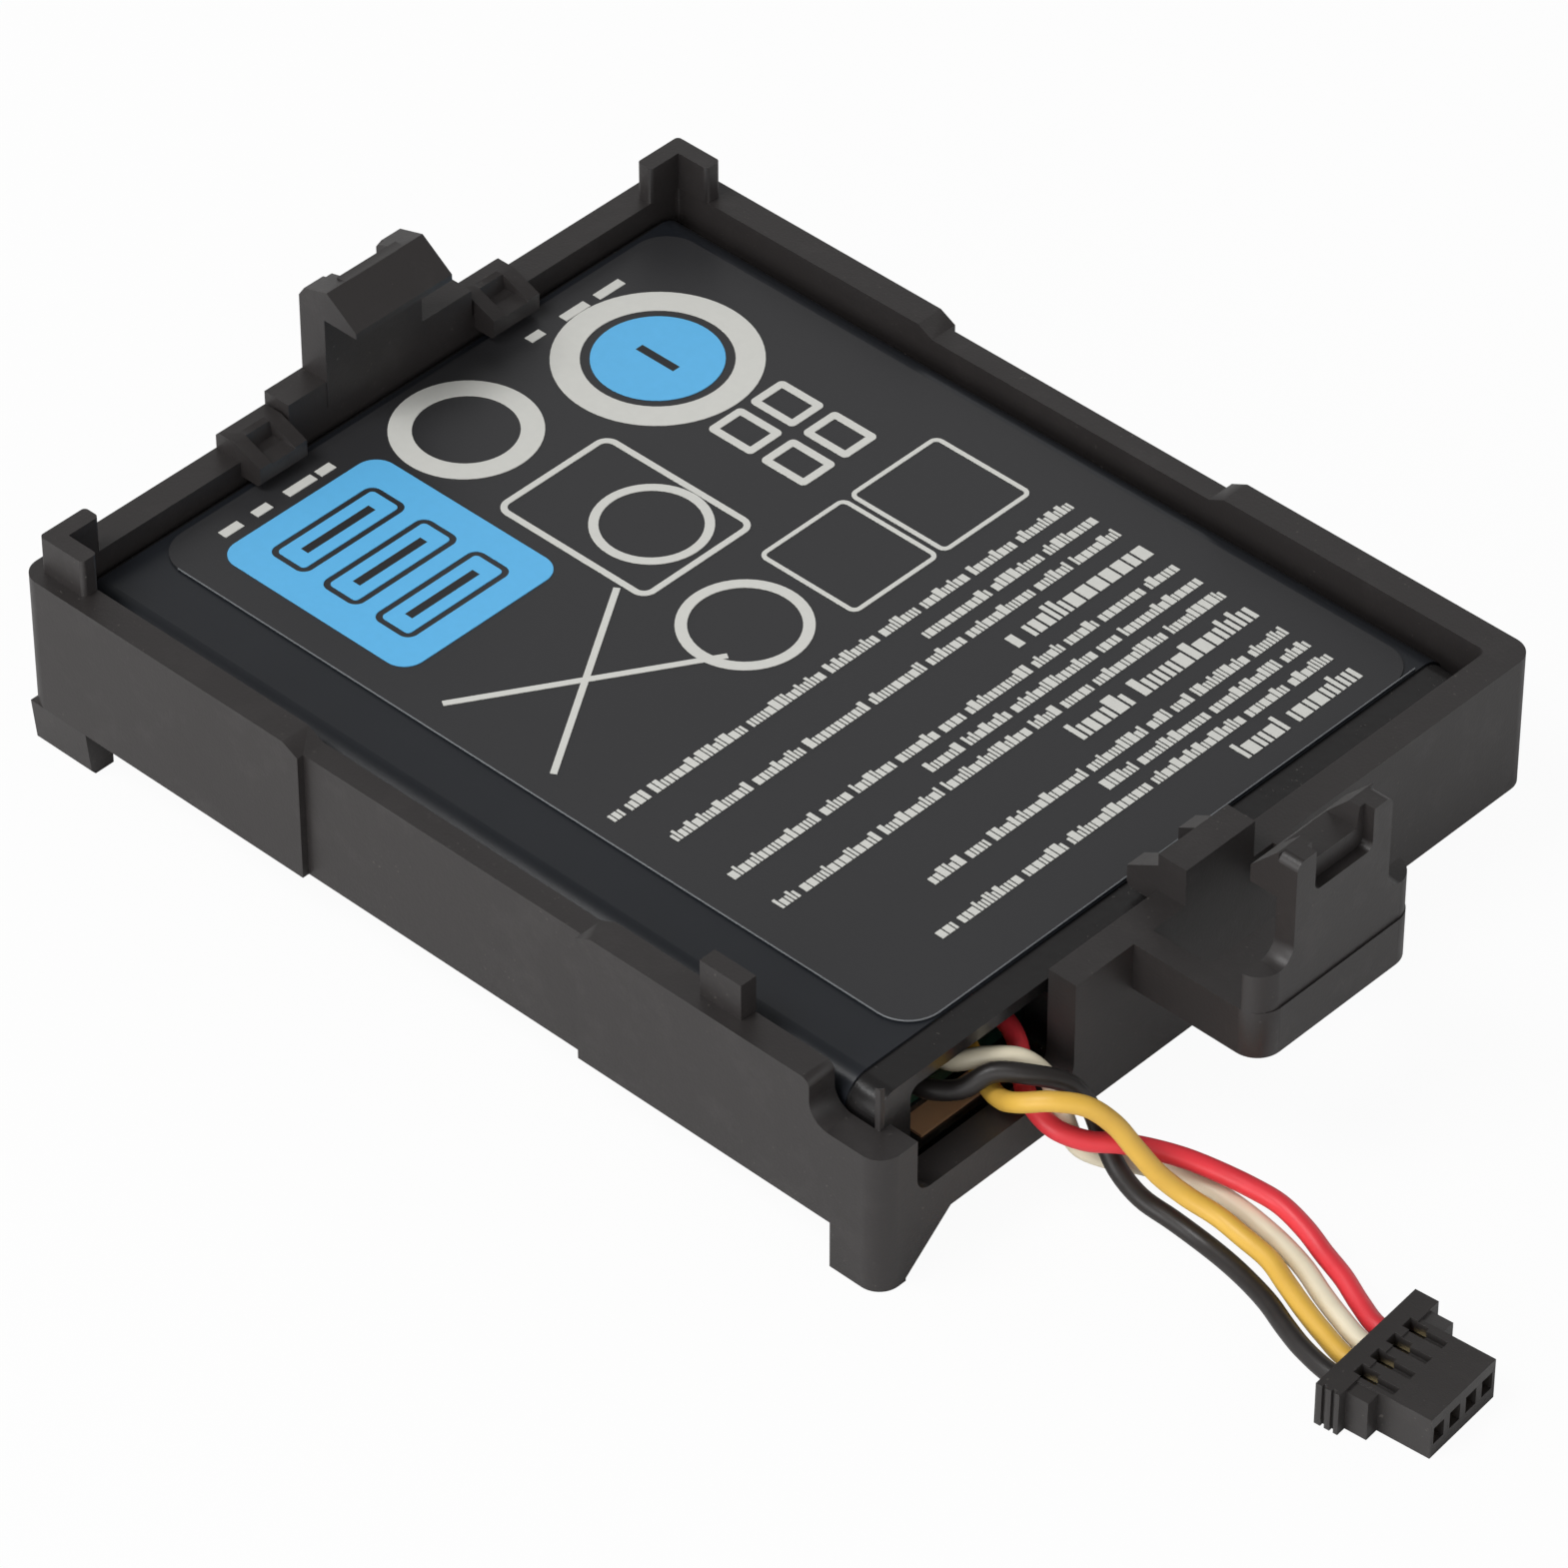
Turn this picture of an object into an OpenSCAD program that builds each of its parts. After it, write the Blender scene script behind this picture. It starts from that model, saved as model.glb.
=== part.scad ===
// Battery module for a storage controller: a moulded snap-in tray, a flat
// rechargeable pack with its gauge board, and a four-way wire lead.
// X runs along the tray towards the lead, Z is up, and the origin is on the
// resting plane under the middle of the tray.

/* [Tray] */
// Outer length of the tray walls
tray_l = 57; // [56:0.5:60]
// Outer width of the tray walls
tray_w = 45.8; // [45:0.2:48]
// Height of the walls
wall_h = 8; // [7.9:0.1:10]
// Thickness of the walls
wall_t = 1.7; // [1.2:0.1:1.9]
// Height of the feet below the walls
foot_h = 2.75; // [1.5:0.25:5]
// Radius of the outer upright corners
corner_r = 1.2; // [0.6:0.1:1.5]
// Width of the ledge that carries the pack
ledge_w = 3.2; // [2:0.2:5]
// Thickness of that ledge
ledge_t = 1; // [0.8:0.1:1.4]
// Length of the lowered middle stretch of the long walls
mid_l = 18.4; // [10:0.2:24]
// How far the middle stretch lies below the rim
mid_drop = 0.5; // [0.2:0.1:1]
// How far the middle stretch is set back from the outer face
mid_recess = 0.4; // [0.2:0.1:0.8]

/* [Posts, clips and blocks] */
// Height of the corner posts and the front block above the rim
post_h = 2.2; // [1.5:0.1:3]
// Thickness of the corner posts
post_t = 1; // [0.7:0.1:1.3]
// Length of each leg of a corner post
post_leg = 3; // [2:0.1:4]
// Distance of the posts from the outer faces
post_inset = 0.8; // [0.3:0.1:1.2]
// Place of the side tab along the near wall
tab_x = 17.7; // [14:0.1:20]
// Length of the side tab
tab_l = 2.6; // [1.5:0.1:4]
// Height of the rear block above the rim
rear_block_h = 1.6; // [1:0.1:2.2]
// Half width of the rear block
rear_block_half = 6.35; // [5:0.05:6.4]
// Half width of the front block
front_block_half = 2.4; // [2:0.1:3]
// Width of one finger on the front block
front_finger_w = 1.2; // [0.8:0.1:1.6]
// Distance of the rear clips from the middle
clip_y = 8.1; // [8.1:0.1:12]
// Width of a rear clip
clip_w = 3.2; // [2:0.1:3.4]
// How far a clip finger reaches inwards past the wall
clip_reach = 1.4; // [0.8:0.1:1.9]

/* [Latches] */
// Place of both latches across the tray
latch_y = -0.45; // [-1:0.05:1]
// Width of the rear hook and the front tower
latch_w = 6.6; // [5:0.1:7.4]
// Height of the catch faces above the resting plane
catch_z = 16.2; // [15.2:0.1:18]
// Height of the hook noses above the catch faces
nose_h = 2.6; // [2.2:0.1:3]
// Width of the front spring loop
loop_w = 11; // [10:0.1:12]
// How far the loop stands out from the wall
loop_reach = 7.75; // [7.2:0.05:9]
// Width of each loop arm
loop_arm_w = 1.3; // [1:0.1:1.6]
// Height of the loop arms
loop_arm_h = 2.75; // [2:0.05:3.5]
// Depth of the beam across the end of the loop
beam_d = 4.3; // [3.5:0.1:4.5]
// Thickness of the tower on the beam
tower_t = 1.25; // [1:0.05:1.5]
// Width of the thumb pocket in a latch
pocket_w = 4; // [3:0.1:4.4]
// Depth of the thumb pocket
pocket_d = 0.6; // [0.3:0.05:0.8]

/* [Wire window] */
// Width of the wire window in the front wall
window_w = 10.6; // [9:0.1:11]
// Distance of the window from the near outer face
window_y = 2.4; // [2:0.1:3]
// Height of the window sill above the wall's lower edge
sill_h = 2.2; // [1.8:0.1:2.4]
// Height of the low rim round the near front corner
low_rim_h = 5.5; // [5:0.1:6.2]

/* [Pack] */
// Clearance between the pack and the tray walls
pack_gap = 0.2; // [0.1:0.05:0.3]
// Extra clearance at the front of the pack
front_gap = 0.4; // [0.2:0.1:0.6]
// Height of the wrapped pack
pack_h = 5.75; // [5.65:0.05:5.9]
// Thickness of the wrap film
film_t = 0.12; // [0.08:0.01:0.15]
// Radius of the pack's long edges
edge_r = 1.5; // [1:0.1:1.8]
// Thickness of the frame's rear wall
frame_rear_t = 1.2; // [0.8:0.1:1.4]
// Thickness of the frame's front wall
frame_front_t = 1.8; // [1.4:0.1:2]
// Width of the bare front strip of the frame
bare_strip = 1.8; // [1.2:0.1:2]
// Thickness of the adhesive under the cell
tape_t = 0.2; // [0.1:0.05:0.25]

/* [Cell] */
// Length of the cell with its cap
cell_l = 43; // [40:0.5:43.5]
// Width of the cell
cell_w = 34; // [30:0.5:35]
// Thickness of the cell
cell_t = 5; // [4.6:0.1:5]
// Thickness of the cap plate
cap_t = 0.8; // [0.6:0.1:1]
// Clearance round the cell
cell_gap = 0.1; // [0.05:0.05:0.2]

/* [Board] */
// Width of the gauge board
board_w = 4.9; // [4.5:0.1:5]
// Length of the gauge board
board_l = 34; // [32:0.5:35]
// Thickness of the gauge board
board_t = 0.8; // [0.6:0.1:1]
// Height of the board's underside above the frame's lower edge
board_rise = 1.2; // [1:0.1:1.6]
// Clearance between the board and the frame's front wall
board_gap = 0.15; // [0.1:0.05:0.3]

/* [Label] */
// Thickness of the label sheet
label_t = 0.1; // [0.06:0.01:0.12]
// Thickness of the printed ink
ink_t = 0.04; // [0.02:0.01:0.06]
// Distance of the label from the near side of the pack
label_near = 4.5; // [3:0.1:5]
// Distance of the label from the far side of the pack
label_far = 1.6; // [1.6:0.1:2]
// Radius of the label corners
label_r = 2; // [1:0.1:3]

/* [Lead] */
// Outer diameter of a wire
wire_d = 1; // [0.9:0.05:1]
// Pitch of the wires in the plug
plug_pitch = 1.25; // [1.2:0.05:1.3]
// Length of the plug housing
plug_l = 5.4; // [5.2:0.1:6]
// Height of the plug housing
plug_h = 2.5; // [2.4:0.1:3]
// Width of the plug nose
nose_w = 5; // [4.9:0.1:5.4]
// Width of the plug's rear flange
flange_w = 7.7; // [7.2:0.1:8]

/* [Hidden] */
$fn = 48;
eps = 0.01;

// Levels of the tray
rim_z = foot_h + wall_h;
ledge_z = foot_h + ledge_t;
rear_x = -(tray_l + loop_reach) / 2;
front_x = rear_x + tray_l;
mid_x = rear_x + tray_l / 2;
in_x0 = rear_x + wall_t;
in_x1 = front_x - wall_t;
half_w = tray_w / 2;
in_w = half_w - wall_t;

// Box of the wrapped pack
pack_x0 = in_x0 + pack_gap;
pack_x1 = in_x1 - pack_gap - front_gap;
pack_half_w = in_w - pack_gap;
pack_z0 = ledge_z;
pack_z1 = ledge_z + pack_h;
label_z = pack_z1 + label_t;
hold_gap = 0.3;

// Box of the frame inside the wrap
frame_z0 = pack_z0 + film_t;
frame_z1 = pack_z1 - film_t;
frame_half_w = pack_half_w - film_t;
film_x1 = pack_x1 - bare_strip;

// Cell and its cap
cell_x0 = pack_x0 + frame_rear_t + cell_gap;
cap_x0 = cell_x0 + cell_l - cap_t;
cap_x1 = cell_x0 + cell_l;
cell_z0 = frame_z0 + tape_t;
cell_z1 = cell_z0 + cell_t;
cell_mid_z = cell_z0 + cell_t / 2;

// Gauge board
bay_x1 = pack_x1 - frame_front_t;
board_x1 = bay_x1 - board_gap;
board_x0 = board_x1 - board_w;
board_z0 = frame_z0 + board_rise;
board_z1 = board_z0 + board_t;

parts_x = (board_x0 + board_x1) / 2;

// Fittings on the cell's cap: gasket, rivet, paper, fill plug, cut-out and weld
gasket_t = 0.3;
rivet_t = 0.4;
insulator_t = 0.15;
tab_t = 0.12;
fill_y = 6.5;
cutoff_y = -4.5;
cutoff_l = 5;
weld_y = 11.5;

// Window in the frame's front wall
frame_sill_z = frame_z0 + 0.7;

// Spring loop and latches
loop_y0 = latch_y - loop_w / 2;
loop_x1 = front_x + loop_reach;
beam_x0 = loop_x1 - beam_d;
tower_x0 = loop_x1 - tower_t;
ridge_z = catch_z + nose_h;

// Window edges across the front wall
window_y0 = -half_w + window_y;
window_y1 = window_y0 + window_w;
sill_z = foot_h + sill_h;
low_rim_z = foot_h + low_rim_h;

// Printed marks on the label, measured from the middle of the tray
mark_x = -17;
mark_y = -9.1;
disc_x = -18.7;
disc_y = 11.3;

// Steps of the plug's housing along its length, and the first window
flange_l = 1.3;
shoulder_l = 2.5;
shoulder_w = nose_w + 1.6;
slot_x = 0.9;

// Plug: middle of its rear face, its turn about Z, and how deep the wires enter it
plug_x = 43.8;
plug_y = -11.45;
plug_turn = 5;
plug_wire_z = plug_h / 2;
wire_depth = 1;

// Solder joints on the board, in the order black, white, yellow, red
joint_x = 17.6;
joint_y = -16.2;
joint_pitch = 2;
joint_l = 1.4;
joint_z = board_z1 + wire_d / 2;

// Hand-laid routes from the joints to the plug; the last two points lie on the plug's axis
route_black = [[joint_x, joint_y, joint_z], [19.4, joint_y, joint_z], [21.1, -16.2, 6.4],
    [22.4, -15.2, 6.5], [23.3, -14, 7.3], [24.7, -12.9, 7.3], [25.9, -11.8, 6.8],
    [26.8, -11.2, 5.5], [27.3, -10.9, 3.9], [28.5, -11.1, 2.6], [29.8, -10.9, 1.5],
    [31.5, -10.6, 1], [33.2, -10.5, 0.7], [34.9, -10.7, 0.7], [36.6, -11.1, 0.8],
    [38.3, -11.7, 1], [39.9, -12.4, 1.1], [41.5, -13, 1.2]];
route_white = [[joint_x, joint_y + joint_pitch, joint_z], [19.3, joint_y + joint_pitch, joint_z], [21, -14.2, 6.7],
    [22.3, -13.3, 7.2], [23.6, -12.2, 7.1], [24.8, -11.7, 6.1], [25.8, -11.9, 4.8],
    [26.5, -11.7, 3.3], [27.3, -10.7, 2.3], [28.5, -9.5, 1.8], [30, -8.7, 1.6],
    [31.6, -8.3, 1.5], [33.3, -8.2, 1.4], [35, -8.4, 1.4], [36.6, -8.7, 1.4],
    [38.3, -9.2, 1.4], [39.8, -9.8, 1.3], [41.4, -10.4, 1.3]];
route_yellow = [[joint_x, joint_y + 2 * joint_pitch, joint_z], [19.3, joint_y + 2 * joint_pitch, joint_z],
    [20.9, -12.9, 6.4], [22.3, -13.5, 5.9], [23.8, -14.1, 6.1], [25.2, -14.4, 6.9],
    [26.6, -13.7, 7.4], [27.8, -12.6, 7.1], [28.8, -11.8, 6.1], [29.7, -11.3, 4.8],
    [30.7, -10.8, 3.5], [31.9, -10.2, 2.5], [33.5, -9.8, 2], [35.1, -9.8, 1.7],
    [36.8, -10, 1.6], [38.4, -10.6, 1.5], [40, -11.2, 1.4], [41.6, -11.7, 1.3]];
route_red = [[joint_x, joint_y + 3 * joint_pitch, joint_z], [19.2, joint_y + 3 * joint_pitch, joint_z],
    [20.8, -10.5, 6.7], [22.3, -11.2, 6.6], [23.4, -12.1, 5.8], [24.7, -12.9, 5.5],
    [26.2, -13, 5], [27.5, -12.2, 4.5], [28.6, -11.1, 4.3], [29.5, -9.9, 3.7],
    [30.7, -8.9, 3.2], [32.1, -8.2, 2.8], [33.7, -7.7, 2.5], [35.2, -7.4, 2.2],
    [36.9, -7.6, 1.9], [38.4, -8, 1.6], [40, -8.5, 1.5], [41.5, -9.1, 1.3]];

// Rectangle from corner a to corner b with rounded corners
module rounded_rect(a, b, r) {
    translate([a[0] + r, a[1]]) square([b[0] - a[0] - 2 * r, b[1] - a[1]]);
    translate([a[0], a[1] + r]) square([b[0] - a[0], b[1] - a[1] - 2 * r]);
    for (x = [a[0] + r, b[0] - r], y = [a[1] + r, b[1] - r])
        translate([x, y]) circle(r);
}

// Outline of a rounded rectangle, drawn inwards with a line of width t
module rect_line(a, b, r, t) {
    difference() {
        rounded_rect(a, b, r);
        rounded_rect(a + [t, t], b - [t, t], max(r - t, 0.05));
    }
}

// Box between two opposite corners
module box(a, b) {
    translate(a) cube(b - a);
}

// Concave fillet of radius r that fills the corner at the origin, towards +x +y
module fillet(r) {
    difference() {
        square(r);
        translate([r, r]) circle(r);
    }
}

// Extrudes an (x, z) outline along Y from y0 to y1
module along_y(y0, y1) {
    translate([0, y1, 0]) rotate([90, 0, 0]) linear_extrude(y1 - y0) children();
}

// Extrudes a (y, z) outline along X from x0 to x1
module along_x(x0, x1) {
    translate([x0, 0, 0]) rotate([90, 0, 90]) linear_extrude(x1 - x0) children();
}

// ---- Tray -------------------------------------------------------------

// Walls and ledge, before any cut
module tray_shell() {
    difference() {
        translate([0, 0, foot_h]) linear_extrude(wall_h)
            rounded_rect([rear_x, -half_w], [front_x, half_w], corner_r);
        translate([0, 0, ledge_z]) linear_extrude(wall_h)
            rounded_rect([in_x0, -in_w], [in_x1, in_w], 0.4);
        translate([0, 0, foot_h - 1]) linear_extrude(wall_h)
            rounded_rect([in_x0 + ledge_w, -in_w + ledge_w], [in_x1 - ledge_w, in_w - ledge_w], 2);
    }
}

// Lowers and sets back the middle stretch of one long wall (side is -1 or 1)
module mid_cut(side) {
    slope = 1;
    z = rim_z - mid_drop;
    along_y(side * (half_w - wall_t / 2) - wall_t, side * (half_w - wall_t / 2) + wall_t)
        translate([mid_x, 0]) polygon([[-mid_l / 2, z], [mid_l / 2, z],
            [mid_l / 2 + slope, rim_z + eps], [-mid_l / 2 - slope, rim_z + eps]]);
    y0 = side > 0 ? half_w - mid_recess : -half_w - 1;
    box([mid_x - mid_l / 2, y0, foot_h - 1], [mid_x + mid_l / 2, y0 + mid_recess + 1, rim_z + 1]);
}

// Cuts the rim down round the near front corner with an S-shaped step
module low_corner_cut() {
    step_x = front_x - 4.5;
    foot_r = 1.2;
    top_r = 0.5;
    along_y(-half_w - 1, -in_w + eps) {
        translate([step_x + foot_r, low_rim_z]) square([10, 10]);
        translate([step_x, low_rim_z + foot_r]) square([10, 10]);
        translate([step_x + foot_r, low_rim_z + foot_r]) circle(foot_r);
        translate([step_x, rim_z]) mirror([1, 1]) fillet(top_r);
    }
    box([in_x1 - eps, -half_w - 1, low_rim_z], [front_x + 1, window_y0 + 1, rim_z + 1]);
}

// Window in the front wall for the wires
module wire_window_cut() {
    along_x(in_x1 - eps, front_x + 1)
        rounded_rect([window_y0, sill_z], [window_y1, rim_z + 3], 0.9);
}

// Foot under a corner of a long wall; it tapers a little towards its tip
module side_foot(x0, x1, side) {
    y_out = side * half_w;
    y_in = side * in_w;
    along_x(x0, x1)
        polygon([[y_out, foot_h + eps], [y_out - side * 0.25, 0.3], [y_out - side * 0.5, 0],
            [y_in, 0], [y_in, foot_h + eps]]);
}

// Foot that wraps the near front corner, with a slanted edge on the front wall
module corner_foot() {
    intersection() {
        union() {
            box([front_x - 3.2, -half_w, 0], [front_x, -in_w, foot_h + eps]);
            along_x(in_x1, front_x)
                polygon([[-half_w, 0], [-half_w + 1.5, 0], [-half_w + 4.7, foot_h + eps],
                    [-half_w, foot_h + eps]]);
        }
        linear_extrude(foot_h + 1) rounded_rect([rear_x, -half_w], [front_x, half_w], corner_r);
    }
}

// L-shaped post on a rear corner (side is -1 or 1)
module corner_post(side) {
    x0 = rear_x + post_inset;
    y0 = half_w - post_inset;
    translate([0, 0, rim_z - eps]) linear_extrude(post_h + eps)
        mirror([0, side > 0 ? 0 : 1]) {
            rounded_rect([x0, y0 - post_t], [x0 + post_leg, y0], 0.25);
            rounded_rect([x0, y0 - post_leg], [x0 + post_t, y0], 0.25);
        }
}

// Clip on the rear wall with a square pocket and a finger over the pack
module rear_clip(y) {
    tip_x = in_x0 + clip_reach;
    top_z = rim_z + 1;
    difference() {
        along_y(y - clip_w / 2, y + clip_w / 2)
            polygon([[rear_x, rim_z - eps], [rear_x, top_z - 0.2], [rear_x + 0.2, top_z],
                [in_x0 - 0.4, top_z], [tip_x, top_z - 0.7], [tip_x, label_z + hold_gap + 0.2],
                [tip_x - 0.2, label_z + hold_gap], [in_x0 - eps, label_z + hold_gap],
                [in_x0 - eps, rim_z - eps]]);
        box([rear_x + 0.9, y - 0.8, rim_z + 0.2], [in_x0 + 0.5, y + 0.8, rim_z + 2]);
    }
}

// Notch that leaves two ears on a latch, seen along X; z is the ridge
module ear_notch(x0, x1, z) {
    along_x(x0, x1)
        polygon([[latch_y - 1.5, z - 1.2], [latch_y + 1.5, z - 1.2], [latch_y + 1.8, z + 1],
            [latch_y - 1.8, z + 1]]);
}

// Fixed hook that rises from the rear block
module rear_hook() {
    x0 = rear_x;
    stem = 1.75;
    nose_x = x0 + 4;
    top_z = ridge_z - 0.8;
    difference() {
        along_y(latch_y - latch_w / 2, latch_y + latch_w / 2)
            polygon([[x0, rim_z - eps], [x0, top_z - 1.1], [x0 + 0.4, top_z - 0.5], [x0 + 2, top_z],
                [nose_x, catch_z + 0.35], [nose_x, catch_z], [x0 + stem, catch_z],
                [x0 + stem, rim_z - eps]]);
        ear_notch(x0 - 1, x0 + 3.2, top_z);
        box([x0 - 1, latch_y - pocket_w / 2, top_z - 2.4],
            [x0 + pocket_d, latch_y + pocket_w / 2, top_z + 1]);
    }
}

// Loop and tower of the front latch, one spring with the tray
module front_latch() {
    arm_z0 = rim_z - loop_arm_h;
    loop_y1 = loop_y0 + loop_w;
    beam_top = rim_z + post_h;
    difference() {
        translate([0, 0, arm_z0]) linear_extrude(loop_arm_h)
            rounded_rect([front_x - 1.5, loop_y0], [loop_x1, loop_y1], 1.4);
        box([front_x - 2, loop_y0 - 1, arm_z0 - 1], [front_x - wall_t / 2, loop_y1 + 1, rim_z + 1]);
        translate([0, 0, arm_z0 - 1]) linear_extrude(loop_arm_h + 2)
            rounded_rect([front_x - 0.7, loop_y0 + loop_arm_w], [beam_x0, loop_y1 - loop_arm_w], 0.6);
    }
    lip = 0.1;
    intersection() {
        along_x(tower_x0, loop_x1 - lip) difference() {
            union() {
                translate([loop_y0, rim_z - eps]) square([loop_w, post_h + eps]);
                rounded_rect([latch_y - latch_w / 2, rim_z], [latch_y + latch_w / 2, ridge_z], 0.5);
                for (s = [-1, 1])
                    translate([latch_y + s * latch_w / 2, beam_top])
                        mirror([s > 0 ? 0 : 1, 0]) fillet(1);
            }
        }
        translate([0, 0, rim_z - 1]) linear_extrude(20)
            rounded_rect([front_x, loop_y0], [loop_x1 - lip, loop_y1], 1.3);
        tower_limits(lip);
    }
    nose_x = tower_x0 - 1.6;
    difference() {
        along_y(latch_y - latch_w / 2, latch_y + latch_w / 2)
            polygon([[tower_x0 + eps, catch_z], [nose_x, catch_z], [nose_x, catch_z + 1],
                [tower_x0 - 0.1, ridge_z], [tower_x0 + eps, ridge_z]]);
        ear_notch(nose_x - 1, tower_x0 + 1, ridge_z);
    }
}

// Room left for the tower once the ears and the thumb pocket are cut
module tower_limits(lip) {
    x = loop_x1 - lip;
    difference() {
        box([front_x, loop_y0 - 1, rim_z - 1], [loop_x1, loop_y0 + loop_w + 1, ridge_z + 1]);
        ear_notch(front_x, loop_x1 + 1, ridge_z);
        along_x(x - pocket_d, loop_x1 + 1)
            rounded_rect([latch_y - pocket_w / 2, ridge_z - 2.4], [latch_y + pocket_w / 2, ridge_z + 2], 0.4);
    }
}

// Block on the front rim with two fingers over the pack
module front_block() {
    box([in_x1 - eps, -front_block_half, rim_z - eps], [front_x, front_block_half, rim_z + post_h]);
    tip_x = in_x1 - clip_reach - 0.5;
    for (y = [-front_block_half, front_block_half - front_finger_w])
        along_y(y, y + front_finger_w)
            polygon([[in_x1, label_z + hold_gap], [tip_x + 0.2, label_z + hold_gap],
                [tip_x, label_z + hold_gap + 0.3], [tip_x, rim_z + 0.4], [in_x1, rim_z + 1.5]]);
}

// Tab on the near rim beside the S-shaped step
module side_tab() {
    y0 = -half_w + post_inset;
    box([mid_x + tab_x - tab_l / 2, y0, rim_z - eps],
        [mid_x + tab_x + tab_l / 2, y0 + post_t, rim_z + post_h - 0.1]);
}

module tray() {
    color("#2b2827") {
        difference() {
            tray_shell();
            mid_cut(-1);
            mid_cut(1);
            low_corner_cut();
            wire_window_cut();
        }
        side_foot(rear_x + 0.2, rear_x + 4.1, -1);
        side_foot(rear_x + 0.2, rear_x + 4.1, 1);
        side_foot(front_x - 6.5, front_x - 2.6, 1);
        corner_foot();
        corner_post(-1);
        corner_post(1);
        side_tab();
        box([rear_x, -rear_block_half, rim_z - eps], [in_x0, rear_block_half, rim_z + rear_block_h]);
        rear_clip(-clip_y);
        rear_clip(clip_y);
        rear_hook();
        front_block();
        front_latch();
    }
}

// ---- Pack -------------------------------------------------------------

// Window in the frame's front wall where the wires leave the pack
module frame_window() {
    along_x(bay_x1 - 1, pack_x1 + 1)
        rounded_rect([window_y0 + 2, frame_sill_z], [window_y1 + 0.9, frame_z1 - 0.7], 0.6);
}

// Frame that carries the cell and the board, open above and below
module pack_frame() {
    color("#3a3838") {
        difference() {
            along_x(pack_x0, pack_x1)
                rounded_rect([-frame_half_w, frame_z0], [frame_half_w, frame_z1], edge_r - film_t);
            box([cell_x0 - cell_gap, -cell_w / 2 - cell_gap, 0],
                [cap_x1 + 1, cell_w / 2 + cell_gap, rim_z]);
            translate([0, 0, frame_z0 - 1]) linear_extrude(pack_h + 2)
                rounded_rect([cap_x1, -board_l / 2 - 0.5], [bay_x1, board_l / 2 + 0.5], 0.5);
            frame_window();
        }
        for (s = [-1, 1])
            box([board_x0 + 0.4, s * (board_l / 2 - 0.5) - 1.2, frame_z0],
                [bay_x1 + eps, s * (board_l / 2 - 0.5) + 1.2, board_z0]);
    }
}

module cell_can() {
    color("#b9bcc0")
        along_x(cell_x0, cap_x0)
            rounded_rect([-cell_w / 2, cell_z0], [cell_w / 2, cell_z1], 1.2);
}

module cell_cap() {
    color("#c4c6c8")
        along_x(cap_x0, cap_x1)
            rounded_rect([-cell_w / 2 + 0.1, cell_z0 + 0.1], [cell_w / 2 - 0.1, cell_z1 - 0.1], 1.1);
}

module terminal_gasket() {
    color("#e8e4da")
        translate([cap_x1, 0, cell_mid_z]) rotate([0, 90, 0]) cylinder(r = 1.5, h = gasket_t);
}

module cell_terminal() {
    color("#cfd0cc")
        box([cap_x1 + gasket_t, -2, cell_mid_z - 1], [cap_x1 + gasket_t + rivet_t, 2, cell_mid_z + 1]);
}

module fill_plug() {
    color("#d2d2d0")
        translate([cap_x1, fill_y, cell_mid_z]) rotate([0, 90, 0]) cylinder(r = 0.6, h = 0.25);
}

// Insulating paper on the cap, holed for the terminal, the fill plug and the weld
module cap_insulator() {
    color("#e6e0cf")
        along_x(cap_x1, cap_x1 + insulator_t) difference() {
            rounded_rect([-cell_w / 2 + 1, cell_z0 + 0.5], [cell_w / 2 - 1, cell_z1 - 0.5], 0.8);
            translate([0, cell_mid_z]) circle(r = 1.8);
            translate([fill_y, cell_mid_z]) circle(r = 0.9);
            rounded_rect([weld_y - 2, cell_mid_z - 1.4], [weld_y + 2, cell_mid_z + 1.4], 0.3);
        }
}

// Cut-out in the negative lead, standing on the insulating paper
module thermal_cutoff() {
    color("#8d9094")
        box([cap_x1 + insulator_t, cutoff_y - cutoff_l, cell_mid_z - 1.4],
            [cap_x1 + insulator_t + 0.9, cutoff_y, cell_mid_z + 1.4]);
}

// Strip from the terminal to the cut-out
module tab_negative() {
    x = cap_x1 + gasket_t + rivet_t;
    color("#c9c6bd")
        box([x, cutoff_y, cell_mid_z - 0.8], [x + tab_t, 1.4, cell_mid_z + 0.8]);
}

// Strip from the cap, folded flat onto the board
module tab_positive() {
    top = board_z1 + tab_t;
    color("#c9c6bd")
        along_y(weld_y - 1.4, weld_y + 1.4)
            polygon([[cap_x1, cell_mid_z - 1], [cap_x1 + tab_t, cell_mid_z - 1],
                [cap_x1 + tab_t, board_z1], [board_x0 + 1.5, board_z1], [board_x0 + 1.5, top],
                [cap_x1, top]]);
}

module gauge_board() {
    color("#1f5a3a")
        difference() {
            box([board_x0, -board_l / 2, board_z0], [board_x1, board_l / 2, board_z1]);
            for (s = [-1, 1])
                translate([board_x0, s * (board_l / 2 - 4), board_z0 - 1]) cylinder(r = 0.6, h = board_t + 2);
        }
}

// Moulded chip of size s with legs along both long sides
module chip(x, y, s, legs) {
    stand = 0.1;
    translate([x, y, board_z1]) {
        translate([-s[0] / 2, -s[1] / 2, stand]) cube([s[0], s[1], s[2] - stand]);
        for (i = [0:legs - 1], e = [-1, 1])
            translate([e * (s[0] / 2 + 0.15) - 0.25, (i - (legs - 1) / 2) * 0.65 - 0.12, 0])
                cube([0.5, 0.24, s[2] / 2]);
    }
}

// Small chip part with its long side along Y
module small_chip(x, y, s) {
    translate([x - s[0] / 2, y - s[1] / 2, board_z1]) cube(s);
}

module gauge_chip() {
    color("#2c2d30") chip(parts_x, 3.2, [3, 4.2, 1], 6);
}

module switch_chip() {
    color("#2c2d30") chip(parts_x, -3.6, [3, 3, 0.95], 4);
}

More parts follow.
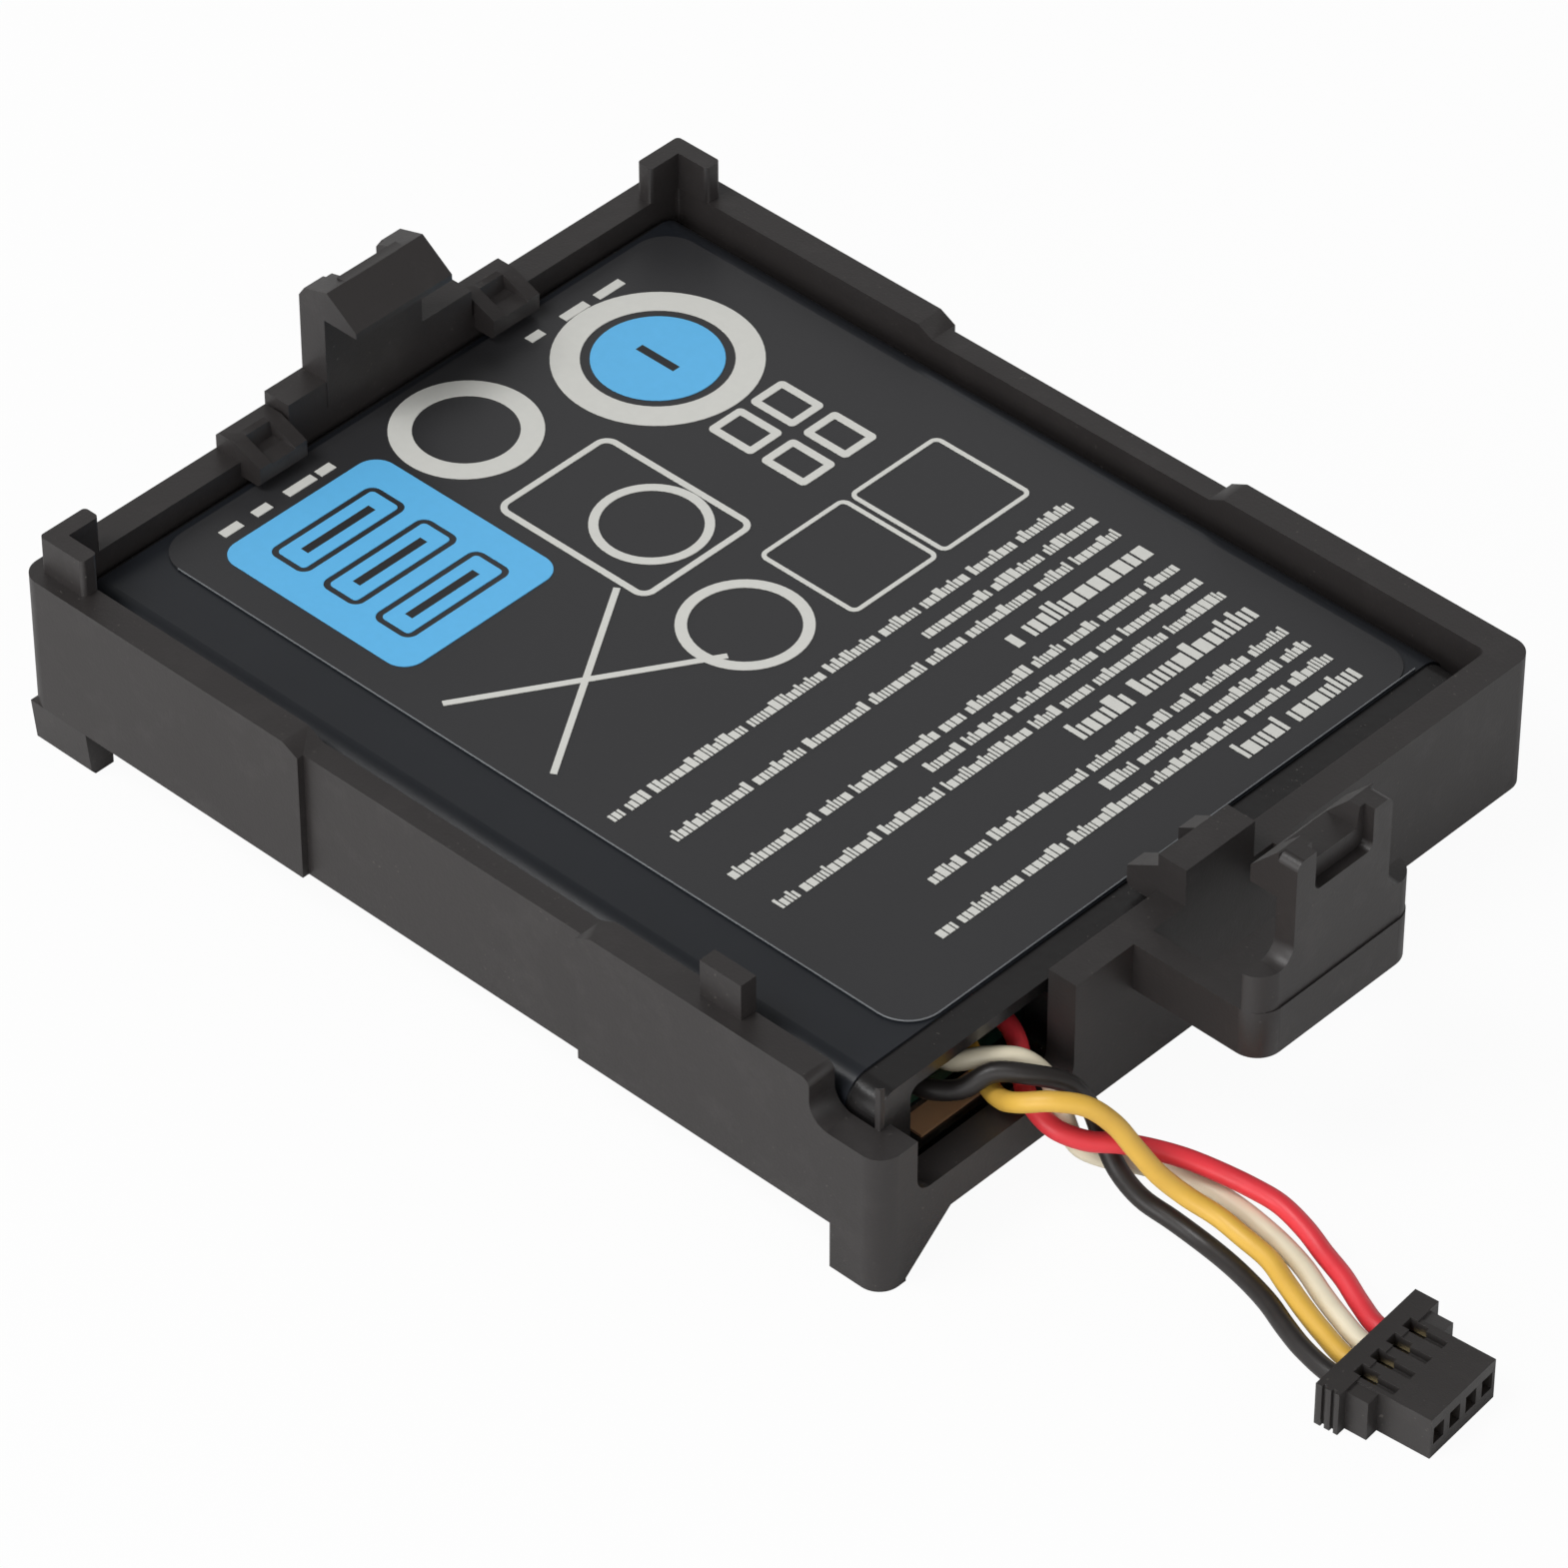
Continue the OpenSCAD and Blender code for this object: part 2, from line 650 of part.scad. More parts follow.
module sense_resistor() {
    color("#31333a") small_chip(parts_x, 7.4, [1.6, 3.1, 0.6]);
}

module chip_resistors() {
    color("#3c3c40") for (i = [0:3]) small_chip(board_x0 + 1, -1.75 + i * 0.75, [1, 0.5, 0.35]);
}

module chip_capacitors() {
    color("#b49a78") for (i = [0:3]) small_chip(board_x1 - 0.9 - 1.4 * (i % 2), 14.2 + floor(i / 2), [1, 0.5, 0.5]);
}

// One rounded mound of solder behind each wire
module solder_joints() {
    r = 0.65;
    color("#c8cacb")
        for (i = [0:3])
            translate([joint_x - joint_l, joint_y + i * joint_pitch, board_z1])
                intersection() {
                    rotate([0, 90, 0]) cylinder(r1 = 0.35, r2 = r, h = joint_l);
                    translate([0, -r, 0]) cube([joint_l, 2 * r, r]);
                }
}

// Amber film over the board's edge in the wire window
module board_tape() {
    color("#c07a2c")
        box([bay_x1, window_y0 + 3.2, frame_sill_z], [pack_x1 - 0.4, window_y0 + 9, frame_sill_z + 0.15]);
}

module adhesive_tape() {
    color("#d8d5cc")
        box([cell_x0 + 2, -cell_w / 2 + 2, frame_z0], [cap_x0 - 2, cell_w / 2 - 2, cell_z0]);
}

module foam_pad() {
    color("#4b4b4d")
        box([cell_x0 + 1, -cell_w / 2 + 1.5, cell_z1], [cap_x0 - 1, cell_w / 2 - 1.5, frame_z1]);
}

// Film sleeve round the frame, open at both ends
module wrap_film() {
    color("#4e4e50")
        along_x(pack_x0 + 0.2, film_x1) difference() {
            rounded_rect([-pack_half_w, pack_z0], [pack_half_w, pack_z1], edge_r);
            rounded_rect([-frame_half_w, frame_z0], [frame_half_w, frame_z1], edge_r - film_t);
        }
}

// ---- Label ------------------------------------------------------------

module label_sheet() {
    color("#464648")
        translate([0, 0, pack_z1]) linear_extrude(label_t)
            rounded_rect([pack_x0 + 0.6, -pack_half_w + label_near], [film_x1 - 0.1, pack_half_w - label_far], label_r);
}

// Ink of thickness ink_t on top of the label
module ink() {
    translate([0, 0, label_z]) linear_extrude(ink_t) translate([mid_x, 0]) children();
}

// Dark marks inside the blue fields
module dark_marks() {
    for (i = [-1:1])
        translate([mark_x + i * 3.6, mark_y]) square([0.5, 4.6], center = true);
    translate([disc_x, disc_y]) square([2.6, 0.5], center = true);
}

module print_blue() {
    color("#5fc0f5") ink() difference() {
        union() {
            rounded_rect([mark_x - 6.5, mark_y - 5.4], [mark_x + 6.5, mark_y + 5.4], 1.2);
            translate([disc_x, disc_y]) circle(r = 3.4);
        }
        for (i = [-1:1])
            translate([mark_x + i * 3.6, mark_y]) rect_line([-1.3, -3.6], [1.3, 3.6], 0.6, 0.35);
        dark_marks();
    }
}

// Thin ring between two radii
module ring(r_out, r_in) {
    difference() {
        circle(r = r_out);
        circle(r = r_in);
    }
}

// Bars that stand for a line of small print, running along Y from y0 to y1
module text_bars(x, y0, y1, h, seed) {
    n = max(1, round((y1 - y0) / (h * 4)));
    step = (y1 - y0) / n;
    for (i = [0:n - 1])
        translate([x - h / 2, y0 + i * step])
            square([h, step * (0.62 + 0.24 * sin(seed * 57 + i * 131))]);
}

module print_white() {
    color("#e4e4df") ink() {
        translate([disc_x, disc_y]) ring(5.4, 3.9);
        translate([-21.6, 0.7]) ring(3.9, 2.7);
        for (x = [-13, -9.4], y = [8.9, 11.9])
            rect_line([x, y], [x + 3, y + 2.4], 0.3, 0.45);
        rect_line([-16.3, -2.7], [-6, 5.2], 0.8, 0.35);
        translate([-9.8, 1.7]) ring(3.1, 2.6);
        rect_line([-4.4, 3.5], [2.1, 9.6], 0.5, 0.25);
        rect_line([-4.4, 9.9], [2.1, 16.3], 0.5, 0.25);
        translate([-1.2, -0.7]) ring(3.4, 2.8);
        for (a = [-58, 58])
            translate([-3.9, -8.9]) rotate(a) square([14, 0.35], center = true);
        text_bars(22.3, 8, 17, 1.3, 1);
        text_bars(15.2, 4, 17, 1.3, 2);
        text_bars(9, 7, 17, 1.3, 3);
        for (i = [0:2]) text_bars(20.9 - 1.45 * i, -10 + 6 * i, 16.7, 0.55, 4 + i);
        for (i = [0:2]) text_bars(13.9 - 1.45 * i, -14.2 + 7 * i, 16.5, 0.55, 8 + i);
        for (i = [0:2]) text_bars(7.4 - 1.45 * i, -15.2 + 4 * i, 16.9, 0.55, 12 + i);
        text_bars(-24.4, -13.3, -4.6, 0.55, 16);
        text_bars(-24.4, 7.9, 15.2, 0.55, 17);
    }
}

module print_dark() {
    color("#202022") ink() dark_marks();
}

// ---- Lead -------------------------------------------------------------

// Unit vector along v
function unit(v) = v / norm(v);

// Direction of a route at point i
function heading(p, i) =
    unit(p[min(i + 1, len(p) - 1)] - p[max(i - 1, 0)]);

// Side vectors carried along the route so that the tube doesn't twist
function sides(p, i, last) =
    i == len(p) ? [] :
    let (t = heading(p, i), s = unit(last - (last * t) * t))
    concat([s], sides(p, i + 1, s));

// Tube of diameter d with n flat sides, one ring at each point of the route
module tube(p, d, n) {
    s = sides(p, 0, [0, 1, 0]);
    rings = [for (i = [0:len(p) - 1]) let (t = heading(p, i), u = s[i], v = cross(t, u))
        for (k = [0:n - 1]) p[i] + d / 2 * (cos(360 * k / n) * u + sin(360 * k / n) * v)];
    last = (len(p) - 1) * n;
    faces = concat([[for (k = [0:n - 1]) k]], [[for (k = [n - 1:-1:0]) last + k]],
        [for (i = [0:len(p) - 2], k = [0:n - 1], h = [0, 1])
            let (a = i * n + k, b = i * n + (k + 1) % n)
            h == 0 ? [a, a + n, b + n] : [a, b + n, b]]);
    polyhedron(points = rings, faces = faces);
}

// Point in the plug's own axes, lx from its rear face and ly across it
function on_plug(lx, ly, z) =
    [plug_x + lx * cos(plug_turn) - ly * sin(plug_turn),
        plug_y + lx * sin(plug_turn) + ly * cos(plug_turn), z];

// One wire from its joint to its place in the plug (0 to 3 from the near side)
module wire(route, place) {
    y = (place - 1.5) * plug_pitch;
    end = [on_plug(-0.6, y, plug_wire_z), on_plug(wire_depth, y, plug_wire_z)];
    tube(concat(route, end), wire_d, 8);
}

module wire_black() {
    color("#2a2626") wire(route_black, 0);
}

module wire_yellow() {
    color("#e6c35c") wire(route_yellow, 1);
}

module wire_white() {
    color("#efe6d2") wire(route_white, 2);
}

module wire_red() {
    color("#e5484e") wire(route_red, 3);
}

// Turns children from the plug's own axes into place
module at_plug() {
    translate([plug_x, plug_y, 0]) rotate([0, 0, plug_turn]) children();
}

module plug_housing() {
    color("#262424") at_plug() difference() {
        union() {
            box([0, -flange_w / 2, 0], [flange_l, flange_w / 2, plug_h]);
            box([0, -shoulder_w / 2, 0], [shoulder_l, shoulder_w / 2, plug_h - 0.2]);
            box([0, -nose_w / 2, 0], [plug_l, nose_w / 2, plug_h - 0.1]);
        }
        for (i = [0:3]) {
            y = (i - 1.5) * plug_pitch;
            translate([-1, y, plug_wire_z]) rotate([0, 90, 0]) cylinder(d = wire_d + 0.12, h = wire_depth + 1);
            box([wire_depth - eps, y - 0.4, plug_wire_z - 0.5], [plug_l + 1, y + 0.4, plug_wire_z + 0.5]);
            box([slot_x, y - 0.35, plug_wire_z], [slot_x + 1, y + 0.35, plug_h + 1]);
            box([slot_x + 0.6, y - 0.35, plug_h - 0.5], [slot_x + 2.2, y + 0.15, plug_h + 1]);
        }
        for (x = [0.35, 0.85])
            box([x, -flange_w / 2 - 1, -1], [x + 0.2, -flange_w / 2 + 0.2, plug_h + 1]);
    }
}

// Box contacts, one behind each wire
module crimp_terminals() {
    color("#c9b46a") at_plug()
        for (i = [0:3]) {
            y = (i - 1.5) * plug_pitch;
            difference() {
                box([wire_depth, y - 0.35, plug_wire_z - 0.45], [plug_l - 0.5, y + 0.35, plug_wire_z + 0.4]);
                box([wire_depth + 1.4, y - 0.2, plug_wire_z - 0.25], [plug_l, y + 0.2, plug_wire_z + 0.2]);
            }
        }
}

tray();
pack_frame();
cell_can();
cell_cap();
cell_terminal();
terminal_gasket();
fill_plug();
cap_insulator();
thermal_cutoff();
tab_positive();
tab_negative();
gauge_board();
gauge_chip();
switch_chip();
sense_resistor();
chip_resistors();
chip_capacitors();
solder_joints();
board_tape();
adhesive_tape();
foam_pad();
wrap_film();
label_sheet();
print_blue();
print_white();
print_dark();
wire_black();
wire_yellow();
wire_white();
wire_red();
plug_housing();
crimp_terminals();
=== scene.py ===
import bmesh
import bpy
import math
import random
from mathutils import Matrix, Vector


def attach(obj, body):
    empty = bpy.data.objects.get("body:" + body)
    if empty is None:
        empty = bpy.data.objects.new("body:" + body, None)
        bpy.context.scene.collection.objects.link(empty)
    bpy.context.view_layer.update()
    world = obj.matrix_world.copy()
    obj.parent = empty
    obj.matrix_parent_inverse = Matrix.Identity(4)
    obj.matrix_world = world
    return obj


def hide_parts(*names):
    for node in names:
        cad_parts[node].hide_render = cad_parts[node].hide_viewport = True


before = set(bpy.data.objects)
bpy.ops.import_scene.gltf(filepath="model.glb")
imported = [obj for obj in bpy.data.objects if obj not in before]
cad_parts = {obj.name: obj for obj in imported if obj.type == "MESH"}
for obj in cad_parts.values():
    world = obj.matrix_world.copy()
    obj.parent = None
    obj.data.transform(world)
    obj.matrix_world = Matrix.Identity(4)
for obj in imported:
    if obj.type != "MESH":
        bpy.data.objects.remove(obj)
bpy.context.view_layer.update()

# ---- Camera ------------------------------------------------------------------
# A long lens looks down on the module from its near front corner, so that the
# label, the near wall and the sprung latch all show.
camera_data = bpy.data.cameras.new("camera")
camera_data.lens = 197.6
camera_data.sensor_width = 36
camera = bpy.data.objects.new("camera", camera_data)
camera.location = (0.21535, -0.22980, 0.27503)
camera.rotation_euler = (math.radians(49.082), math.radians(0.071), math.radians(43.498))
bpy.context.scene.collection.objects.link(camera)
bpy.context.scene.camera = camera

# ---- Lead: four wires --------------------------------------------------------
# Thin stranded wires in smooth coloured insulation, 1 mm across. Each one is
# soldered to the gauge board, leaves through the wire window and ends in the plug.
mm = 0.001
wire_d = 1.0
plug_at = Vector((43.8, -11.45, 1.25))
plug_turn = math.radians(5)
plug_pitch = 1.25
joint_x = 17.6
joint_z = 6.37


class Value:
    """One output of a finish's nodes. Maths written on it adds Math nodes."""

    def __init__(self, finish, socket):
        self.finish = finish
        self.socket = socket

    def maths(self, operation, *values):
        return self.finish.node("Math", {"operation": operation}, dict(enumerate(values)))

    def __add__(self, other):
        return self.maths("ADD", self, other)

    def __radd__(self, other):
        return self.maths("ADD", other, self)

    def __sub__(self, other):
        return self.maths("SUBTRACT", self, other)

    def __rsub__(self, other):
        return self.maths("SUBTRACT", other, self)

    def __mul__(self, other):
        return self.maths("MULTIPLY", self, other)

    def __rmul__(self, other):
        return self.maths("MULTIPLY", other, self)

    def __gt__(self, other):
        return self.maths("GREATER_THAN", self, other)


class Finish:
    """A material for one kind of surface, built on the Principled shader."""

    def __init__(self, name, **sockets):
        self.material = bpy.data.materials.new(name)
        self.material.use_nodes = True
        self.tree = self.material.node_tree
        self.shader = self.tree.nodes["Principled BSDF"]
        self.set(**sockets)

    def node(self, kind, settings=None, sockets=None, out=0):
        made = self.tree.nodes.new("ShaderNode" + kind)
        for key, value in (settings or {}).items():
            setattr(made, key, value)
        for key, value in (sockets or {}).items():
            self.feed(made.inputs[key], value)
        return Value(self, made.outputs[out])

    def feed(self, socket, value):
        if isinstance(value, Value):
            self.tree.links.new(value.socket, socket)
        else:
            socket.default_value = value

    def set(self, **sockets):
        for key, value in sockets.items():
            self.feed(self.shader.inputs[key.replace("_", " ")], value)

    def place(self):
        return self.node("TexCoord", out="Object")

    def noise(self, size_mm, detail=3, roughness=0.5):
        """Soft noise from 0 to 1 whose spots are about size_mm across."""
        return self.node("TexNoise", {}, {
            "Vector": self.place(), "Scale": 1 / (size_mm * mm),
            "Detail": detail, "Roughness": roughness})

    def steps(self, value, low, high):
        """0 below low, 1 above high, and a straight ramp between."""
        return self.node("MapRange", {}, {0: value, 1: low, 2: high, 3: 0.0, 4: 1.0})

    def blend(self, share, first, second):
        return self.node("Mix", {"data_type": "RGBA"}, {0: share, 6: first, 7: second}, out=2)

    def bump(self, height, depth_mm, strength):
        return self.node("Bump", {}, {"Height": height, "Distance": depth_mm * mm, "Strength": strength})


def insulation(name, colour, shade):
    """Smooth soft plastic with faint rub marks and a few darker smears."""
    finish = Finish(name, Roughness=0.38, IOR=1.46)
    smears = finish.steps(finish.noise(2.2, 4), 0.5, 0.75)
    finish.set(Base_Color=finish.blend(smears * 0.35, (*colour, 1), (*shade, 1)))
    finish.set(Roughness=0.34 + finish.noise(0.8) * 0.16)
    finish.set(Normal=finish.bump(finish.noise(0.35, 2), 0.02, 0.35))
    return finish.material


def on_plug(along, across):
    turned = Matrix.Rotation(plug_turn, 4, "Z") @ Vector((along, across, 0))
    return tuple(plug_at + turned)


routes = {
    "black": [(joint_x, -16.2, joint_z), (19.4, -16.2, joint_z), (21.1, -16.2, 6.4),
        (22.4, -15.2, 6.5), (23.3, -14, 7.3), (24.7, -12.9, 7.3), (25.9, -11.8, 6.8),
        (26.8, -11.2, 5.5), (27.3, -10.9, 3.9), (28.5, -11.1, 2.6), (29.8, -10.9, 1.5),
        (31.5, -10.6, 1), (33.2, -10.5, 0.7), (34.9, -10.7, 0.7), (36.6, -11.1, 0.8),
        (38.3, -11.7, 1), (39.9, -12.4, 1.1), (41.5, -13, 1.2)],
    "yellow": [(joint_x, -12.2, joint_z), (19.3, -12.2, joint_z), (20.9, -12.9, 6.4),
        (22.3, -13.5, 5.9), (23.8, -14.1, 6.1), (25.2, -14.4, 6.9), (26.6, -13.7, 7.4),
        (27.8, -12.6, 7.1), (28.8, -11.8, 6.1), (29.7, -11.3, 4.8), (30.7, -10.8, 3.5),
        (31.9, -10.2, 2.5), (33.5, -9.8, 2), (35.1, -9.8, 1.7), (36.8, -10, 1.6),
        (38.4, -10.6, 1.5), (40, -11.2, 1.4), (41.6, -11.7, 1.3)],
    "white": [(joint_x, -14.2, joint_z), (19.3, -14.2, joint_z), (21, -14.2, 6.7),
        (22.3, -13.3, 7.2), (23.6, -12.2, 7.1), (24.8, -11.7, 6.1), (25.8, -11.9, 4.8),
        (26.5, -11.7, 3.3), (27.3, -10.7, 2.3), (28.5, -9.5, 1.8), (30, -8.7, 1.6),
        (31.6, -8.3, 1.5), (33.3, -8.2, 1.4), (35, -8.4, 1.4), (36.6, -8.7, 1.4),
        (38.3, -9.2, 1.4), (39.8, -9.8, 1.3), (41.4, -10.4, 1.3)],
    "red": [(joint_x, -10.2, joint_z), (19.2, -10.2, joint_z), (20.8, -10.5, 6.7),
        (22.3, -11.2, 6.6), (23.4, -12.1, 5.8), (24.7, -12.9, 5.5), (26.2, -13, 5),
        (27.5, -12.2, 4.5), (28.6, -11.1, 4.3), (29.5, -9.9, 3.7), (30.7, -8.9, 3.2),
        (32.1, -8.2, 2.8), (33.7, -7.7, 2.5), (35.2, -7.4, 2.2), (36.9, -7.6, 1.9),
        (38.4, -8, 1.6), (40, -8.5, 1.5), (41.5, -9.1, 1.3)],
}
wire_colours = {
    "black": ((0.022, 0.019, 0.018), (0.04, 0.036, 0.034)),
    "yellow": ((0.78, 0.47, 0.075), (0.6, 0.33, 0.05)),
    "white": ((0.87, 0.79, 0.6), (0.7, 0.6, 0.42)),
    "red": ((0.80, 0.045, 0.06), (0.55, 0.03, 0.04)),
}
for place, (colour, route) in enumerate(routes.items()):
    across = (place - 1.5) * plug_pitch
    points = route + [on_plug(-0.6, across), on_plug(1.0, across)]
    curve = bpy.data.curves.new("lead_" + colour, "CURVE")
    curve.dimensions = "3D"
    curve.bevel_depth = wire_d / 2 * mm
    curve.bevel_resolution = 5
    curve.resolution_u = 6
    curve.use_fill_caps = True
    spline = curve.splines.new("BEZIER")
    spline.bezier_points.add(len(points) - 1)
    for i, (knot, point) in enumerate(zip(spline.bezier_points, points)):
        here = Vector(point)
        before = Vector(points[max(i - 1, 0)])
        after = Vector(points[min(i + 1, len(points) - 1)])
        knot.co = here * mm
        knot.handle_left = (here - (after - before) / 6) * mm
        knot.handle_right = (here + (after - before) / 6) * mm
    wire = bpy.data.objects.new("lead_" + colour, curve)
    bpy.context.scene.collection.objects.link(wire)
    curve.materials.append(insulation("insulation_" + colour, *wire_colours[colour]))
    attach(wire, "root")
    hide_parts("wire_" + colour)
    [c * mm for c in points[0]]

# ---- Tray --------------------------------------------------------------------
# One moulding in black plastic with a fine eroded grain. Its edges are slightly
# rounded, it is rubbed a little shiny in patches, and pale dust specks lie scattered in places.


def softened(node, name, width_mm):
    """A copy of a CAD node with its edges rounded, which then stands for it."""
    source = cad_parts[node]
    mesh = source.data.copy()
    mesh.materials.clear()
    work = bmesh.new()
    work.from_mesh(mesh)
    bmesh.ops.remove_doubles(work, verts=work.verts, dist=0.002 * mm)
    bmesh.ops.dissolve_limit(work, angle_limit=math.radians(1), verts=work.verts, edges=work.edges)
    work.to_mesh(mesh)
    work.free()
    piece = bpy.data.objects.new(name, mesh)
    bpy.context.scene.collection.objects.link(piece)
    rounding = piece.modifiers.new("rounding", "BEVEL")
    rounding.width = width_mm * mm
    rounding.segments = 2
    rounding.limit_method = "ANGLE"
    rounding.angle_limit = math.radians(30)
    rounding.harden_normals = False
    rounding.miter_outer = "MITER_ARC"
    mesh.shade_smooth()
    flats = piece.modifiers.new("flats", "WEIGHTED_NORMAL")
    flats.keep_sharp = False
    flats.weight = 80
    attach(piece, "root")
    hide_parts(node)
    return piece


def black_moulding(name, colour=(0.024, 0.021, 0.0205), rough=0.44, grain_mm=0.16):
    """Grained black plastic: cloudy gloss, pale dust specks and rubbed patches."""
    finish = Finish(name, IOR=1.5)
    cloud = finish.noise(6, 4)
    rub = finish.steps(finish.noise(2.4, 5, 0.65), 0.52, 0.8)
    specks = finish.noise(0.22, 1) > 0.74
    few = finish.steps(finish.noise(3.5, 3), 0.45, 0.7)
    dust = specks * few
    paler = tuple(c * 1.5 + 0.004 for c in colour)
    worn = finish.blend(rub * 0.5, (*colour, 1), (*paler, 1))
    finish.set(Base_Color=finish.blend(dust * 0.35, worn, (0.22, 0.2, 0.18, 1)))
    finish.set(Roughness=rough + (cloud - 0.5) * 0.12 + dust * 0.2 - rub * 0.06)
    grain = finish.noise(grain_mm, 2) + finish.noise(grain_mm * 3, 2) * 0.6
    finish.set(Normal=finish.bump(grain, 0.012, 0.55))
    return finish.material


rear_x = -32.375
rim_z = 10.75
latch_y = -0.45
clip_pockets = [-8.1, 8.1]


def prism(outline, y0, y1):
    """A solid with an (x, z) outline in mm, running from y0 to y1."""
    mesh = bpy.data.meshes.new("prism")
    work = bmesh.new()
    face = work.faces.new([work.verts.new((x * mm, y0 * mm, z * mm)) for x, z in outline])
    grown = bmesh.ops.extrude_face_region(work, geom=[face])
    tops = [item for item in grown["geom"] if isinstance(item, bmesh.types.BMVert)]
    bmesh.ops.translate(work, verts=tops, vec=(0, (y1 - y0) * mm, 0))
    bmesh.ops.recalc_face_normals(work, faces=work.faces)
    work.to_mesh(mesh)
    work.free()
    solid = bpy.data.objects.new("prism", mesh)
    bpy.context.scene.collection.objects.link(solid)
    return solid


def reshape(piece, operation, solids):
    """Joins solids to a piece, or cuts them from it, before its edges are rounded."""
    for solid in solids:
        change = piece.modifiers.new("change", "BOOLEAN")
        change.operation = operation
        change.solver = "EXACT"
        change.object = solid
        bpy.context.view_layer.objects.active = piece
        bpy.ops.object.modifier_move_to_index(modifier="change", index=0)
        bpy.ops.object.modifier_apply(modifier="change")
        bpy.data.objects.remove(solid)


tray = softened("tray", "tray_moulding", 0.14)
# The hook's lead-in runs on across its notch, and each clip's pocket opens
# towards the label, closed at its back.
notch_floor = 16.7
ramp = [(rear_x + 1.2, notch_floor), (rear_x + 1.4, 17.95), (rear_x + 2.02, 17.98),
    (rear_x + 3.6, 16.83), (rear_x + 3.6, notch_floor)]
ramp_half = 2
clip_back = [(rear_x + 0.8, rim_z + 0.1), (rear_x + 0.8, rim_z + 0.995),
    (rear_x + 1.3, rim_z + 0.995), (rear_x + 1.5, rim_z + 0.1)]
clip_back_half = 0.9
clip_opening = [(rear_x + 1.65, rim_z + 0.35), (rear_x + 1.55, rim_z + 2),
    (rear_x + 4, rim_z + 2), (rear_x + 4, rim_z + 0.1)]
clip_opening_half = 0.8
clip_fills = [prism(clip_back, y - clip_back_half, y + clip_back_half) for y in clip_pockets]
clip_cuts = [prism(clip_opening, y - clip_opening_half, y + clip_opening_half) for y in clip_pockets]
reshape(tray, "UNION", [prism(ramp, latch_y - ramp_half, latch_y + ramp_half)] + clip_fills)
reshape(tray, "DIFFERENCE", clip_cuts)
tray.data.materials.append(black_moulding("tray_plastic"))

# ---- Pack frame --------------------------------------------------------------
# The moulded frame that carries the cell and the board. Its bare front end is
# smoother and glossier than the tray.
pack_frame = softened("pack_frame", "pack_end_moulding", 0.1)
pack_frame.data.materials.append(black_moulding("frame_plastic", (0.014, 0.013, 0.013), 0.24, 0.5))

# ---- Wrap film and label -----------------------------------------------------
# A dark shrink film wrapped tightly round the pack, and the printed label on it.
# Both have a soft satin shine with faint long waves.


def refinish(node, material):
    """Gives a CAD node, which keeps its shape, one finish."""
    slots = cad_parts[node].data.materials
    slots.clear()
    slots.append(material)


film = Finish("film", Base_Color=(0.012, 0.014, 0.018, 1), Roughness=0.3, IOR=1.5)
film.set(Roughness=0.27 + film.noise(5, 3) * 0.1, Normal=film.bump(film.noise(9, 2), 0.1, 0.3))
refinish("wrap_film", film.material)

label = Finish("label", IOR=1.48)
sheen = label.noise(12, 2)
fibre = label.noise(0.12, 2)
label.set(Base_Color=label.blend(sheen * 0.4, (0.027, 0.027, 0.029, 1), (0.034, 0.034, 0.036, 1)))
label.set(Roughness=0.36 + fibre * 0.08, Normal=label.bump(fibre, 0.006, 0.5))
refinish("label_sheet", label.material)

# ---- Label edge --------------------------------------------------------------
# A thin pale tube along the label's near side and round its front corner is a painted
# highlight: the cut edge catching the light.
edge_near = -16.5
edge_front = 20.42
edge_r = 2.0
edge_rear = -28.0
edge_far = 19.0
edge_z = 9.58
corner = [(edge_front - edge_r + edge_r * math.sin(a), edge_near + edge_r - edge_r * math.cos(a))
    for a in [math.radians(10 * i) for i in range(10)]]
edge_curve = bpy.data.curves.new("label_side_highlight", "CURVE")
edge_curve.dimensions = "3D"
edge_curve.bevel_depth = 0.045 * mm
edge_curve.bevel_resolution = 1
edge_curve.use_fill_caps = True
edge_points = [(edge_rear, edge_near)] + corner + [(edge_front, edge_far)]
edge_spline = edge_curve.splines.new("POLY")
edge_spline.points.add(len(edge_points) - 1)
for knot, (x, y) in zip(edge_spline.points, edge_points):
    knot.co = (x * mm, y * mm, edge_z * mm, 1)
side_highlight = bpy.data.objects.new("label_side_highlight", edge_curve)
bpy.context.scene.collection.objects.link(side_highlight)
# Its pale grey colour is the painted highlight on the label's edge.
edge_curve.materials.append(Finish("painted_edge_highlight", Base_Color=(0.16, 0.17, 0.18, 1), Roughness=0.4).material)
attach(side_highlight, "root")

# ---- Print on the label ------------------------------------------------------
# Flat inks, screened onto the label: a pale one, a blue one and a dark one.


def ink(name, colour):
    """Thin printed ink, very slightly uneven."""
    finish = Finish(name, IOR=1.45)
    thin = finish.noise(0.5, 3)
    darker = tuple(c * 0.86 for c in colour)
    finish.set(Base_Color=finish.blend(thin * 0.5, (*colour, 1), (*darker, 1)), Roughness=0.5 + thin * 0.08)
    return finish.material


label_top = 9.6
ink_t = 0.04
text_edge = 16.8
letter_gap = 0.13
word_gap = 0.4
text_rows = [(18.4, 8.4, 1.25), (16.8, -10.6, 0.75), (15.4, 2.5, 0.75), (14.0, -8.2, 0.75), (11.8, 4.1, 1.35),
    (10.0, -14.3, 0.75), (8.5, -2.4, 0.75), (7.0, -14.7, 0.75), (5.0, 7, 1.35), (3.2, -14.2, 0.75),
    (1.7, 4.4, 0.75), (0.1, -15.4, 0.75)]
draw = random.Random(7)
print_white = bpy.data.objects.new("label_print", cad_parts["print_white"].data.copy())
bpy.context.scene.collection.objects.link(print_white)
print_white.data.materials.clear()
print_white.data.materials.append(ink("ink_print_white", (0.72, 0.72, 0.68)))
work = bmesh.new()
work.from_mesh(print_white.data)
text_from = -0.9
